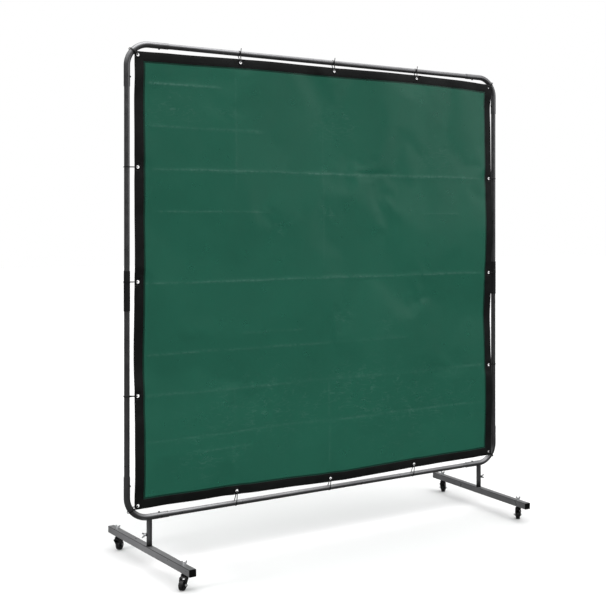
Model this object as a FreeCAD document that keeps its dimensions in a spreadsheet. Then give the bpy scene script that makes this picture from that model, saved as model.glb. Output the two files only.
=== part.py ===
"""Portable welding screen: a vinyl curtain tied into a tube frame that stands on two caster feet.

The origin is on the floor under the middle of the frame. +X runs along the screen, -Y is its
front, and +Z is up. Sizes are in millimetres.
"""
import FreeCAD, Part
import math
import os
import Sketcher

Vector = FreeCAD.Vector
Rotation = FreeCAD.Rotation
Placement = FreeCAD.Placement

DIMENSIONS = {
    # frame
    "frame_half_width": 940,        # from the middle to an upright's centreline
    "bottom_rail_height": 208,
    "top_rail_height": 2104,
    "tube_radius": 11,
    "tube_bore": 9.5,
    "elbow_radius": 12.5,
    "elbow_bore": 11.1,
    "elbow_bend": 90,
    "elbow_leg": 173,               # from the corner to the end of an elbow's leg
    "tube_insertion": 55,           # how far a tube goes into an elbow
    "sleeve_radius": 12.6,
    "sleeve_centre": 1118,
    "sleeve_half": 80,
    "sleeve_rim": 0.4,              # rounding of its ends
    "rail_joint": -92,              # where the two halves of a rail meet
    "joint_gap": 0.5,               # half the gap between two tube ends
    "joiner_radius": 9.3,
    "joiner_bore": 7.5,
    "joiner_half": 60,
    # snap buttons
    "button_distance": 134,         # from the corner, along each leg
    "button_radius": 3.7,
    "button_hole": 4,
    "button_tip": 16.2,             # all heights from the tube's axis
    "button_shoulder": 8,
    "button_tail": 2.5,
    "button_dome": 1.4,
    "clip_leaf": 0.8,
    "clip_half_width": 4,
    "clip_front": 3,
    "clip_rear": -7.9,
    "clip_hole": 2.9,
    "clip_length": 30,
    # curtain
    "curtain_half_width": 914.5,
    "curtain_bottom": 237.5,
    "curtain_top": 2082.5,
    "curtain_plane": -14,           # the curtain hangs in front of the tubes
    "hem_width": 40,
    "hem_thickness": 2.4,
    "vinyl_thickness": 1,
    "grommet_bottom": 258,
    "grommet_pitch": 450,
    "grommet_bore": 6.5,
    "grommet_barrel": 7.2,
    "grommet_flange": 12.25,
    "flange_thickness": 0.8,
    "hem_hole": 7.4,
    # cable ties
    "tie_thickness": 1.2,
    "tie_half_width": 1.8,
    "tie_clearance": 0.3,
    "tie_corner_slack": 3.5,
    "tie_turn": 4.4,                # radius of the turn inside a grommet
    "tie_head_length": 5.5,
    "tie_head_depth": 3.6,
    "tie_head_width": 6,
    "tie_head_round": 0.7,
    "tie_head_angle": 100,          # round the tube, from the side that faces the grommet
    "tie_tail": 12,
    "tail_lift": 1.2,               # of the tail above the strap
    "tail_half_width": 1.5,
    "top_tie_head_angle": -105,
    "top_tie_tail": -25,            # these tails stand up in front of the rail
    # feet
    "foot_offset": 847,
    "foot_turn_left": 2.8,          # degrees that each foot is turned on its spigot
    "foot_turn_right": -2.3,
    "beam_size": 28,
    "beam_wall": 1.6,
    "beam_corner": 2.5,
    "beam_half_length": 381,
    "beam_height": 63,              # underside above the floor
    "cap_thickness": 3,
    "cap_depth": 12,
    "cap_clearance": 0.2,
    "post_top": 195,
    "post_bore": 9.5,
    "spigot_radius": 9.42,
    "spigot_bore": 7.5,
    "spigot_bottom": 104,
    # wing bolts
    "bolt_height": 139,
    "bolt_radius": 3,
    "bolt_clearance": 0.06,
    "bolt_tip": 9.6,                # all distances from the post's axis
    "bolt_collar": 17.5,
    "bolt_boss": 5,
    "bolt_boss_length": 5,
    "bolt_wing_spread": 7.5,
    "bolt_wing_rise": 11,
    "weld_nut_face": 16,
    "weld_nut_corner": 5.9,
    # wings of the hand bolts and nuts
    "wing_thickness": 2.4,
    "wing_round": 3.2,              # radius of an ear
    "wing_root": 3,                 # from the axis to where an ear starts
    "boss_taper": 1,
    # casters
    "caster_inset": 70,
    "wheel_radius": 20,
    "wheel_half_width": 9,
    "wheel_rim": 14.5,
    "wheel_hub": 6,
    "wheel_recess": 2.5,
    "recess_slope": 0.8,
    "wheel_bore": 3.07,
    "tread_round": 3,
    "axle_radius": 3,
    "axle_head": 5,
    "axle_head_length": 4,
    "axle_nut_length": 5.5,
    "axle_end": 1.5,                # thread past the lock nut
    "trail": 15,
    "fork_inside": 10.2,
    "fork_outside": 12.6,
    "fork_top": 50,
    "fork_crown": 4,
    "fork_reach": 14,
    "fork_flare": 5,                # how far the crown's rear leans out under its top
    "fork_waist": 2,                # height over which it leans
    "fork_toe": 6.5,
    "fork_shoulder": 3,
    "axle_clearance": 0.1,
    "dish_radius": 13.5,
    "dish_top": 56,
    "stem_radius": 4,
    "stem_clearance": 0.06,
    "stem_hole_clearance": 0.2,
    "stem_head": 7,
    "stem_head_depth": 3,
    "race_gap": 0.3,
    "stem_top": 102,
    "collar_radius": 9.5,
    "collar_bottom": 56.3,
    "wing_boss": 6,
    "wing_boss_height": 7,
    "wing_nut_gap": 0.3,            # above the beam
    "nut_wing_spread": 8,
    "nut_wing_rise": 14,
}

SIDES = {"left": -1, "right": 1}
ENDS = {"front": -1, "rear": 1}
LEVELS = {"bottom": -1, "top": 1}
# which way each caster trails, in degrees from +X
CASTER_HEADINGS = {
    "front_left": -140,
    "rear_left": 42,
    "front_right": 54,
    "rear_right": 40,
}
# which way the wings of each wing nut spread
WING_HEADINGS = {"front_left": -20, "rear_left": -50, "front_right": -35, "rear_right": -65}
# how far right and up the ties pull some grommets from their even grid, by column and row
GROMMET_SHIFTS = {
    (-1, 2): (0, 7),
    (0, 2): (11, 8),
    (1, 2): (13, 11),
    (-2, 1): (0, 3),
    (-2, 0): (0, -4),
    (-2, -1): (0, -8),
    (2, 0): (0, -14),
    (2, -1): (0, -20),
    (-2, -2): (0, 5),
    (-1, -2): (-17, 3),
    (0, -2): (-9, -7),
    (1, -2): (-3, -2),
}

DOC = FreeCAD.newDocument("welding_screen")
NODES = []


def make_sheet():
    """Writes the driving dimensions to the document's spreadsheet."""
    sheet = DOC.addObject("Spreadsheet::Sheet", "dims")
    for row, (alias, value) in enumerate(DIMENSIONS.items(), 1):
        sheet.set(f"A{row}", alias)
        sheet.set(f"B{row}", str(value))
        sheet.setAlias(f"B{row}", alias)
    DOC.recompute()
    return sheet


SHEET = make_sheet()


def size(alias):
    """A driving dimension as a number."""
    return float(SHEET.get(alias))


def keep(made):
    """Marks an object as one of the sub-parts that are written out."""
    NODES.append(made)
    return made


def at(made, right="0", back="0", up="0", rotation=Rotation()):
    """Places an object at a point given by three expressions."""
    made.Placement = Placement(Vector(), rotation)
    for axis, expression in zip("xyz", (right, back, up)):
        made.setExpression(f"Placement.Base.{axis}", expression)
    return made


def axes(along, upward):
    """The rotation that turns +X to along and +Z to upward."""
    return Rotation(along, upward.cross(along), upward, "XZY")


# --- small PartDesign vocabulary ---------------------------------------------------------------


def new_body(label):
    made = DOC.addObject("PartDesign::Body", label)
    made.Label = label
    return made


def new_sketch(owner, name, role, offset=None):
    """A sketch on one of the body's own origin planes, moved along its normal by an expression."""
    made = owner.newObject("Sketcher::SketchObject", f"{owner.Name}_{name}")
    plane = next(p for p in owner.Origin.OriginFeatures if p.Role == role)
    made.AttachmentSupport = [(plane, "")]
    made.MapMode = "FlatFace"
    if offset:
        made.setExpression("AttachmentOffset.Base.z", offset)
    return made


def bind(sketch, constraint, expression):
    """Adds a sized constraint and ties its value to an expression."""
    number = sketch.addConstraint(constraint)
    sketch.setExpression(f"Constraints[{number}]", expression)


def add_circle(sketch, radius, right=None, up=None):
    """A circle at the sketch's origin, or at (right, up), all given as expressions."""
    number = sketch.addGeometry(Part.Circle(Vector(), Vector(0, 0, 1), 1), False)
    if right is None and up is None:
        sketch.addConstraint(Sketcher.Constraint("Coincident", number, 3, -1, 1))
    elif up is None:
        sketch.addConstraint(Sketcher.Constraint("PointOnObject", number, 3, -1))
        bind(sketch, Sketcher.Constraint("DistanceX", -1, 1, number, 3, 1.0), right)
    elif right is None:
        sketch.addConstraint(Sketcher.Constraint("PointOnObject", number, 3, -2))
        bind(sketch, Sketcher.Constraint("DistanceY", -1, 1, number, 3, 1.0), up)
    else:
        bind(sketch, Sketcher.Constraint("DistanceX", -1, 1, number, 3, 1.0), right)
        bind(sketch, Sketcher.Constraint("DistanceY", -1, 1, number, 3, 1.0), up)
    bind(sketch, Sketcher.Constraint("Radius", number, 1.0), radius)


def add_outline(sketch, corners):
    """A closed outline whose corners are pairs of expressions over the spreadsheet's values."""
    values = [tuple(float(DOC.dims.evalExpression(e)) for e in corner) for corner in corners]
    points = [Vector(x, y, 0) for x, y in values]
    first = sketch.GeometryCount
    total = len(points)
    for index, point in enumerate(points):
        sketch.addGeometry(Part.LineSegment(point, points[(index + 1) % total]), False)
    for index, (right, up) in enumerate(corners):
        line, after = first + index, first + (index + 1) % total
        sketch.addConstraint(Sketcher.Constraint("Coincident", line, 2, after, 1))
        for kind, expression, value in zip(("DistanceX", "DistanceY"), (right, up), values[index]):
            if value == 0:
                axis = -2 if kind == "DistanceX" else -1
                sketch.addConstraint(Sketcher.Constraint("PointOnObject", line, 1, axis))
            else:
                bind(sketch, Sketcher.Constraint(kind, -1, 1, line, 1, value), expression)


def pad(owner, sketch, length, symmetric=False, flip=False):
    made = owner.newObject("PartDesign::Pad", sketch.Name + "_pad")
    made.Profile = sketch
    made.setExpression("Length", length)
    made.SideType = "Symmetric" if symmetric else "One side"
    made.Reversed = flip
    return made


def pocket(owner, sketch, length, symmetric=False, flip=False):
    """Cuts a sketch into the body, and makes sure that something was removed."""
    DOC.recompute()
    before = owner.Shape.Volume
    made = owner.newObject("PartDesign::Pocket", sketch.Name + "_pocket")
    made.Profile = sketch
    made.setExpression("Length", length)
    made.SideType = "Symmetric" if symmetric else "One side"
    made.Reversed = flip
    DOC.recompute()
    if made.Shape.Volume > before - 0.01:
        raise RuntimeError(f"{made.Name} cuts nothing")
    return made


def revolve(owner, sketch):
    """Turns a sketch a full turn about its own vertical axis."""
    made = owner.newObject("PartDesign::Revolution", sketch.Name + "_turned")
    made.Profile = sketch
    made.ReferenceAxis = (sketch, ["V_Axis"])
    made.Angle = 360
    return made


def fillet(owner, base, radius, wanted):
    """Rounds the edges of a feature that a test picks."""
    DOC.recompute()
    names = [f"Edge{n}" for n, edge in enumerate(base.Shape.Edges, 1) if wanted(edge)]
    if not names:
        raise RuntimeError(f"no edge of {base.Name} to round")
    made = owner.newObject("PartDesign::Fillet", base.Name + "_round")
    made.Base = (base, names)
    made.setExpression("Radius", radius)
    return made


def is_ring(edge, radius):
    """True for a full circle of a given radius."""
    return isinstance(edge.Curve, Part.Circle) and abs(edge.Curve.Radius - radius) < 1e-6


# --- small Part vocabulary ---------------------------------------------------------------------


def cylinder(name, radius, height):
    made = DOC.addObject("Part::Cylinder", name)
    made.setExpression("Radius", radius)
    made.setExpression("Height", height)
    return made


def block(name, length, width, height):
    """A box with its corner at its origin, sized by three expressions."""
    made = DOC.addObject("Part::Box", name)
    for key, expression in zip(("Length", "Width", "Height"), (length, width, height)):
        made.setExpression(key, expression)
    return made


def cut(label, base, *tools):
    """Cuts each tool out of the base in turn. The last result takes the label."""
    for number, tool in enumerate(tools, 1):
        name = label if number == len(tools) else f"{label}_step{number}"
        made = DOC.addObject("Part::Cut", name)
        made.Base, made.Tool = base, tool
        base = made
    made.Label = label
    return made


def group(label, members):
    """Several separate solids of one kind as one sub-part."""
    made = DOC.addObject("Part::Compound", label)
    made.Label = label
    made.Links = members
    return keep(made)


def shaped(label, shape, placement=Placement()):
    """A sub-part whose shape is built directly from the spreadsheet's values."""
    made = DOC.addObject("Part::Feature", label)
    made.Label = label
    made.Shape = shape
    made.Placement = placement
    return keep(made)


def ring_solid(outer, inner, start, end):
    """A plain ring about the Y axis, from start to end."""
    length = end - start
    base, direction = Vector(0, start, 0), Vector(0, 1, 0)
    return Part.makeCylinder(outer, length, base, direction).cut(
        Part.makeCylinder(inner, length, base, direction)
    )


# --- tube frame --------------------------------------------------------------------------------


def corner_point(side, level):
    """Expressions for where the centrelines of an upright and a rail would cross."""
    right = "dims.frame_half_width" if side > 0 else "-dims.frame_half_width"
    up = "dims.top_rail_height" if level > 0 else "dims.bottom_rail_height"
    return right, up


def make_elbow(label, side, level):
    """A bent corner tube. Its legs run along local +X and +Z, with a button hole in each."""
    owner = new_body(label)
    path = new_sketch(owner, "path", "XZ_Plane")
    bend, leg = size("elbow_bend"), size("elbow_leg")
    circle = Part.Circle(Vector(bend, bend, 0), Vector(0, 0, 1), bend)
    path.addGeometry(Part.LineSegment(Vector(leg, 0, 0), Vector(bend, 0, 0)), False)
    path.addGeometry(Part.ArcOfCircle(circle, math.pi, 1.5 * math.pi), False)
    path.addGeometry(Part.LineSegment(Vector(0, bend, 0), Vector(0, leg, 0)), False)
    for constraint in (
        Sketcher.Constraint("Tangent", 0, 2, 1, 2),
        Sketcher.Constraint("Tangent", 1, 1, 2, 1),
        Sketcher.Constraint("Horizontal", 0),
        Sketcher.Constraint("Vertical", 2),
        Sketcher.Constraint("PointOnObject", 0, 1, -1),
        Sketcher.Constraint("PointOnObject", 2, 2, -2),
    ):
        path.addConstraint(constraint)
    bind(path, Sketcher.Constraint("Radius", 1, bend), "dims.elbow_bend")
    bind(path, Sketcher.Constraint("DistanceX", -1, 1, 0, 1, leg), "dims.elbow_leg")
    bind(path, Sketcher.Constraint("DistanceY", -1, 1, 2, 2, leg), "dims.elbow_leg")
    section = new_sketch(owner, "section", "YZ_Plane", "dims.elbow_leg")
    add_circle(section, "dims.elbow_radius")
    add_circle(section, "dims.elbow_bore")
    pipe = owner.newObject("PartDesign::AdditivePipe", label + "_pipe")
    pipe.Profile = section
    pipe.Spine = (path, ["Edge1", "Edge2", "Edge3"])
    for role, right, up in (
        ("XY_Plane", "dims.button_distance", None),
        ("YZ_Plane", None, "dims.button_distance"),
    ):
        hole = new_sketch(owner, "hole_" + role[:2], role)
        add_circle(hole, "dims.button_hole", right, up)
        pocket(owner, hole, "dims.button_tip", flip=True)
    along, upward = Vector(-side, 0, 0), Vector(0, 0, -level)
    right, up = corner_point(side, level)
    return keep(at(owner, right, "0", up, axes(along, upward)))


def make_frame_tube(label, side, level, length, upright):
    """A straight tube that starts inside an elbow, with a button hole near that end."""
    owner = new_body(label)
    section = new_sketch(owner, "section", "YZ_Plane")
    add_circle(section, "dims.tube_radius")
    add_circle(section, "dims.tube_bore")
    pad(owner, section, length)
    hole = new_sketch(owner, "hole", "XY_Plane")
    inset = "dims.button_distance - dims.elbow_leg + dims.tube_insertion"
    add_circle(hole, "dims.button_hole", inset)
    pocket(owner, hole, "dims.button_tip", flip=True)
    right, up = corner_point(side, level)
    start = "(dims.elbow_leg - dims.tube_insertion)"
    if upright:
        up = f"{up} {'-' if level > 0 else '+'} {start}"
        rotation = axes(Vector(0, 0, -level), Vector(-side, 0, 0))
    else:
        right = f"{right} {'-' if side > 0 else '+'} {start}"
        rotation = axes(Vector(-side, 0, 0), Vector(0, 0, -level))
    return keep(at(owner, right, "0", up, rotation))


def make_sleeve(label, side):
    """The black coupler over the joint between the two halves of an upright."""
    owner = new_body(label)
    section = new_sketch(owner, "section", "XY_Plane")
    add_circle(section, "dims.sleeve_radius")
    add_circle(section, "dims.elbow_bore")
    tube = pad(owner, section, "2 * dims.sleeve_half", symmetric=True)
    fillet(owner, tube, "dims.sleeve_rim", lambda edge: is_ring(edge, size("sleeve_radius")))
    return keep(at(owner, corner_point(side, 1)[0], "0", "dims.sleeve_centre"))


def make_tube_frame():
    start = "dims.frame_half_width - dims.elbow_leg + dims.tube_insertion"
    middle = "dims.sleeve_centre"
    insertion = "dims.elbow_leg - dims.tube_insertion"
    for level_name, level in LEVELS.items():
        for side_name, side in SIDES.items():
            make_elbow(f"elbow_{level_name}_{side_name}", side, level)
            sign = "-" if side > 0 else "+"
            rail = f"{start} {sign} dims.rail_joint - dims.joint_gap"
            make_frame_tube(f"{level_name}_rail_{side_name}", side, level, rail, upright=False)
            if level > 0:
                length = f"dims.top_rail_height - ({insertion}) - {middle} - dims.joint_gap"
            else:
                length = f"{middle} - dims.bottom_rail_height - ({insertion}) - dims.joint_gap"
            half = "upper" if level > 0 else "lower"
            make_frame_tube(f"upright_{side_name}_{half}", side, level, length, upright=True)
    for side_name, side in SIDES.items():
        make_sleeve(f"sleeve_{side_name}", side)


def make_rail_joiners():
    """The inner tubes that carry each rail across its joint."""
    members = []
    for level_name in LEVELS:
        name = f"{level_name}_joiner"
        length = "2 * dims.joiner_half"
        tubes = cylinder(name + "_outer", "dims.joiner_radius", length), cylinder(
            name + "_bore", "dims.joiner_bore", length
        )
        for tube in tubes:
            height = f"dims.{level_name}_rail_height"
            turned = Rotation(Vector(0, 1, 0), 90)
            at(tube, "dims.rail_joint - dims.joiner_half", "0", height, turned)
        members.append(cut(name, *tubes))
    group("rail_joiners", members)


def make_buttons():
    """Sprung snap buttons, two in each elbow. They point into the frame's opening."""
    for level_name, level in LEVELS.items():
        for side_name, side in SIDES.items():
            right, up = corner_point(side, level)
            inward_x, inward_z = Vector(-side, 0, 0), Vector(0, 0, -level)
            across = f"{right} {'-' if side > 0 else '+'} dims.button_distance"
            along = f"{up} {'-' if level > 0 else '+'} dims.button_distance"
            name = f"{level_name}_{side_name}"
            at(make_button(f"button_{name}_rail"), across, "0", up, axes(inward_x, inward_z))
            at(make_button(f"button_{name}_upright"), right, "0", along, axes(inward_z, inward_x))


def make_button(label):
    """A pin along local +Z: a thin tail inside the tube and a domed head through its wall."""
    owner = new_body(label)
    profile = new_sketch(owner, "profile", "XZ_Plane")
    dome = "dims.button_radius - dims.button_dome"
    add_outline(
        profile,
        [
            ("0", "0"),
            ("dims.button_tail", "0"),
            ("dims.button_tail", "dims.button_shoulder"),
            ("dims.button_radius", "dims.button_shoulder"),
            ("dims.button_radius", "dims.button_tip - dims.button_dome"),
            (dome, "dims.button_tip"),
            ("0", "dims.button_tip"),
        ],
    )
    revolve(owner, profile)
    return keep(owner)


def clip_solid():
    """A hairpin leaf spring: two flat leaves along X, joined by a half ring, with a pin hole."""
    leaf, width = size("clip_leaf"), 2 * size("clip_half_width")
    front, rear = size("clip_front"), size("clip_rear")
    start, end = -size("clip_length") / 3, size("clip_length")
    bars = [
        Part.makeBox(end - start, width, leaf, Vector(start, -width / 2, height - leaf / 2))
        for height in (front, rear)
    ]
    turn = (front - rear) / 2
    centre, across = Vector(end, -width / 2, (front + rear) / 2), Vector(0, 1, 0)
    bend = Part.makeCylinder(turn + leaf / 2, width, centre, across).cut(
        Part.makeCylinder(turn - leaf / 2, width, centre, across)
    )
    reach = turn + leaf
    bend = bend.common(Part.makeBox(reach, width, 2 * reach, centre - Vector(0, 0, reach)))
    hole = Part.makeCylinder(size("clip_hole"), 2 * leaf, Vector(0, 0, front - leaf))
    return bars[0].fuse([bars[1], bend]).removeSplitter().cut(hole)


def make_spring_clips():
    """The hairpin springs behind the snap buttons, one in each tube end."""
    clip = clip_solid()
    reach = size("button_distance")
    copies = []
    for level, height in ((-1, size("bottom_rail_height")), (1, size("top_rail_height"))):
        for side in SIDES.values():
            corner = Vector(side * size("frame_half_width"), 0, height)
            legs = Vector(-side, 0, 0), Vector(0, 0, -level)
            for along, inward in (legs, legs[::-1]):
                copy = clip.copy()
                copy.Placement = Placement(corner + along * reach, axes(along, inward))
                copies.append(copy)
    shaped("spring_clips", Part.makeCompound(copies))


# --- curtain -----------------------------------------------------------------------------------


def grommet_points():
    """Every grommet's centre, the unit direction and distance to its tube, and that tube's radius."""
    pitch, steps = size("grommet_pitch"), range(-2, 3)
    low = size("grommet_bottom")
    bend_x = size("frame_half_width") - size("elbow_bend")
    bend_z = {
        -1: size("bottom_rail_height") + size("elbow_bend"),
        1: size("top_rail_height") - size("elbow_bend"),
    }
    points = []
    for column in steps:
        for row in steps:
            if max(abs(column), abs(row)) < 2:
                continue
            right, up = GROMMET_SHIFTS.get((column, row), (0, 0))
            centre = Vector(column * pitch + right, 0, low + (row + 2) * pitch + up)
            if abs(column) == 2 and abs(row) == 2:
                level = row // 2
                outward = centre - Vector(column / 2 * bend_x, 0, bend_z[level])
                reach = size("elbow_bend") - outward.Length
                held = size("elbow_radius") + size("tie_corner_slack")
                points.append((centre, outward.normalize(), reach, held))
            elif abs(column) == 2:
                reach = size("frame_half_width") - 2 * pitch
                held = size("tube_radius") if row else size("sleeve_radius")
                points.append((centre, Vector(column / 2, 0, 0), reach, held))
            else:
                height = size("top_rail_height") if row > 0 else size("bottom_rail_height")
                reach = abs(height - centre.z)
                points.append((centre, Vector(0, 0, row / 2), reach, size("tube_radius")))
    return points


def make_curtain():
    """The vinyl panel and its hem, a flat frame with a hole for each grommet."""
    half, width = "dims.curtain_half_width", "dims.hem_width"
    tall = "dims.curtain_top - dims.curtain_bottom"
    outer = block("hem_outer", f"2 * {half}", "dims.hem_thickness", tall)
    front = "dims.curtain_plane - dims.hem_thickness / 2"
    at(outer, f"-{half}", front, "dims.curtain_bottom")
    inside = f"2 * {half} - 2 * {width}", f"{tall} - 2 * {width}"
    opening = block("hem_opening", inside[0], "dims.hem_thickness", inside[1])
    at(opening, f"{width} - {half}", front, f"dims.curtain_bottom + {width}")
    holes = []
    for number, (centre, *_) in enumerate(grommet_points(), 1):
        hole = cylinder(f"hem_hole_{number}", "dims.hem_hole", "2 * dims.hem_thickness")
        hole.Placement = Placement(
            Vector(centre.x, size("curtain_plane") + size("hem_thickness"), centre.z),
            Rotation(Vector(1, 0, 0), 90),
        )
        holes.append(hole)
    punched = DOC.addObject("Part::Compound", "hem_holes")
    punched.Links = holes
    keep(cut("curtain_hem", outer, opening, punched))
    panel = block("curtain_panel", inside[0], "dims.vinyl_thickness", inside[1])
    middle = "dims.curtain_plane - dims.vinyl_thickness / 2"
    keep(at(panel, f"{width} - {half}", middle, f"dims.curtain_bottom + {width}"))


def make_grommets():
    """Eyelets through the hem: a barrel with a flange on each face."""
    plane, half_hem = size("curtain_plane"), size("hem_thickness") / 2
    face = half_hem + size("flange_thickness")
    bore, flange = size("grommet_bore"), size("grommet_flange")
    eyelet = ring_solid(size("grommet_barrel"), bore, -face, face).fuse(
        [ring_solid(flange, bore, -face, -half_hem), ring_solid(flange, bore, half_hem, face)]
    )
    rims = [e for e in eyelet.Edges if is_ring(e, flange) and abs(abs(e.Vertexes[0].Y) - face) < 1e-6]
    eyelet = eyelet.removeSplitter().makeFillet(size("flange_thickness") / 2, rims)
    copies = [eyelet.translated(centre + Vector(0, plane, 0)) for centre, *_ in grommet_points()]
    shaped("grommets", Part.makeCompound(copies))


# --- cable ties --------------------------------------------------------------------------------


def polar(centre, radius, angle):
    return centre + Vector(radius * math.cos(angle), radius * math.sin(angle), 0)


def belt_face(tube, tube_radius, turn, turn_radius):
    """The face inside a taut belt round two circles in the XY plane."""
    span = tube - turn
    along = math.atan2(span.y, span.x)
    lean = math.asin((tube_radius - turn_radius) / span.Length)
    left, right = along + math.pi / 2 + lean, along - math.pi / 2 - lean
    on_tube = [polar(tube, tube_radius, angle) for angle in (right, along, left)]
    on_turn = [polar(turn, turn_radius, angle) for angle in (left, along + math.pi, right)]
    edges = [
        Part.Arc(*on_tube).toShape(),
        Part.LineSegment(on_tube[2], on_turn[0]).toShape(),
        Part.Arc(*on_turn).toShape(),
        Part.LineSegment(on_turn[2], on_tube[0]).toShape(),
    ]
    return Part.Face(Part.Wire(edges))


def tie_clasp(head_angle, tail_length):
    """A tie's head and its cut-off tail. A negative length points the tail the other way round."""
    thickness, width = size("tie_thickness"), size("tie_head_width")
    length, tail_half = size("tie_head_length"), size("tail_half_width")
    corner = Vector(-length / 2, -thickness / 2, -width / 2)
    head = Part.makeBox(length, size("tie_head_depth"), width, corner)
    head = head.makeFillet(size("tie_head_round"), head.Edges)
    start = Vector(min(0, tail_length), size("tail_lift"), -tail_half)
    tail = Part.makeBox(abs(tail_length), thickness, 2 * tail_half, start)
    clasp = head.fuse(tail)
    clasp.Placement = Placement(Vector(), Rotation(Vector(0, 0, 1), head_angle - 90))
    return clasp


def tie_solid(reach, tube_radius, head_angle, tail_length):
    """One cable tie. X points from the grommet to the tube, Y to the back, Z along the tube."""
    half, width = size("tie_thickness") / 2, 2 * size("tie_half_width")
    tube = Vector(reach, 0, 0)
    turn = Vector(size("tie_turn"), size("curtain_plane"), 0)
    loop = belt_face(tube, tube_radius + half, turn, size("tie_turn") + half).cut(
        belt_face(tube, tube_radius - half, turn, size("tie_turn") - half)
    )
    strap = loop.translated(Vector(0, 0, -width / 2)).extrude(Vector(0, 0, width))
    clasp = tie_clasp(head_angle, tail_length)
    clasp.translate(polar(tube, tube_radius, math.radians(head_angle)))
    return strap.fuse(clasp).removeSplitter()


def make_cable_ties():
    """One tie through each grommet and round its tube, in two groups."""
    groups = {"rails": [], "uprights": []}
    gap = size("tie_clearance") + size("tie_thickness") / 2
    for centre, outward, reach, held in grommet_points():
        style = "top_tie" if outward.z == 1 else "tie"
        angle, tail = size(f"{style}_head_angle"), size(f"{style}_tail")
        tie = tie_solid(reach, held + gap, angle, tail)
        tie.Placement = Placement(centre, axes(outward, outward.cross(Vector(0, 1, 0))))
        groups["rails" if abs(outward.z) > 0.5 else "uprights"].append(tie)
    for name, ties in groups.items():
        shaped(f"cable_ties_{name}", Part.makeCompound(ties))


# --- feet --------------------------------------------------------------------------------------


def foot_x(side):
    return "dims.foot_offset" if side > 0 else "-dims.foot_offset"


def foot_turn(side):
    """How far a foot is turned on its spigot."""
    return Rotation(Vector(0, 0, 1), size("foot_turn_right" if side > 0 else "foot_turn_left"))


def stand(made, side):
    """Moves a foot's piece, made about the post's axis, to its side of the frame."""
    return at(made, foot_x(side), "0", "0", foot_turn(side))


def make_spigots():
    """Short tubes welded under the lower elbows, which the foot posts turn on."""
    members = []
    for side_name, side in SIDES.items():
        name = f"spigot_{side_name}"
        length = "dims.bottom_rail_height - dims.spigot_bottom"
        outer = cylinder(name + "_outer", "dims.spigot_radius", length)
        bore = cylinder(name + "_bore", "dims.spigot_bore", length)
        for tube in (outer, bore):
            at(tube, foot_x(side), "0", "dims.spigot_bottom")
        saddle = cylinder(name + "_saddle", "dims.elbow_radius", "2 * dims.elbow_bend")
        middle = f"{foot_x(side)} - dims.elbow_bend"
        at(saddle, middle, "0", "dims.bottom_rail_height", Rotation(Vector(0, 1, 0), 90))
        members.append(cut(name, outer, bore, saddle))
    group("foot_spigots", members)


def make_post(label, side):
    """The upright socket of a foot, with a side hole for its wing bolt."""
    height = "dims.post_top - dims.beam_height - dims.beam_size"
    outer = cylinder(label + "_outer", "dims.tube_radius", height)
    bore = cylinder(label + "_bore", "dims.post_bore", height)
    for tube in (outer, bore):
        at(tube, "0", "0", "dims.beam_height + dims.beam_size")
    hole = cylinder(label + "_hole", "dims.bolt_radius + dims.bolt_clearance", "dims.weld_nut_face")
    at(hole, "0", "0", "dims.bolt_height", Rotation(Vector(0, 1, 0), 90 * side))
    return keep(stand(cut(label, outer, bore, hole), side))


def make_beam(label, side):
    """A square tube that lies across the screen, drilled for the two caster stems."""
    thin = "dims.beam_size - 2 * dims.beam_wall"
    length = "2 * dims.beam_half_length - 2 * dims.cap_thickness"
    outer = block(label + "_outer", "dims.beam_size", length, "dims.beam_size")
    start = "dims.cap_thickness - dims.beam_half_length"
    at(outer, "-dims.beam_size / 2", start, "dims.beam_height")
    rounded = DOC.addObject("Part::Fillet", label + "_rounded")
    rounded.Base = outer
    DOC.recompute()
    corner = size("beam_corner")
    rounded.Edges = [
        (number, corner, corner)
        for number, edge in enumerate(outer.Shape.Edges, 1)
        if abs(edge.tangentAt(edge.FirstParameter).y) > 0.5
    ]
    bore = block(label + "_bore", thin, length, thin)
    wall = "dims.beam_height + dims.beam_wall"
    at(bore, f"-({thin}) / 2", start, wall)
    tools = [bore]
    for end_name, end in ENDS.items():
        radius = "dims.stem_radius + dims.stem_hole_clearance"
        hole = cylinder(f"{label}_{end_name}", radius, "2 * dims.beam_size")
        tools.append(at(hole, "0", stem_reach(end), "dims.beam_height - dims.beam_size / 2"))
    return keep(stand(cut(label, rounded, *tools), side))


def stem_reach(end):
    """How far a caster's stem is from the post, along the beam, as an expression."""
    return f"({end} * (dims.beam_half_length - dims.caster_inset))"


def stem_place(side, end):
    """Expressions for where a caster's stem stands, with its foot turned."""
    turn = f"dims.foot_turn_{'right' if side > 0 else 'left'} * 1 deg"
    reach = stem_reach(end)
    return f"{foot_x(side)} - {reach} * sin({turn})", f"{reach} * cos({turn})"


def make_end_caps(label, side):
    """A pushed-in plastic cap at each end of the beam."""
    members = []
    for end_name, end in ENDS.items():
        body = new_body(f"{label}_{end_name}")
        face = new_sketch(body, "face", "XZ_Plane")
        half = "dims.beam_size / 2"
        add_outline(face, square(half))
        flange = pad(body, face, "dims.cap_thickness")
        fillet(body, flange, "dims.beam_corner", lambda e: abs(e.tangentAt(0).y) > 0.5)
        plug = new_sketch(body, "plug", "XZ_Plane")
        add_outline(plug, square(f"{half} - dims.beam_wall - dims.cap_clearance"))
        pad(body, plug, "dims.cap_depth", flip=True)
        inset = "dims.beam_half_length - dims.cap_thickness"
        back = inset if end > 0 else f"-({inset})"
        turned = Rotation(Vector(0, 0, 1), 180) if end > 0 else Rotation()
        members.append(at(body, "0", back, f"dims.beam_height + {half}", turned))
    stand(group(label, members), side)


def square(half):
    """The corners of a square about the origin, as expressions."""
    return [(f"-({half})", f"-({half})"), (half, f"-({half})"), (half, half), (f"-({half})", half)]


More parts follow.
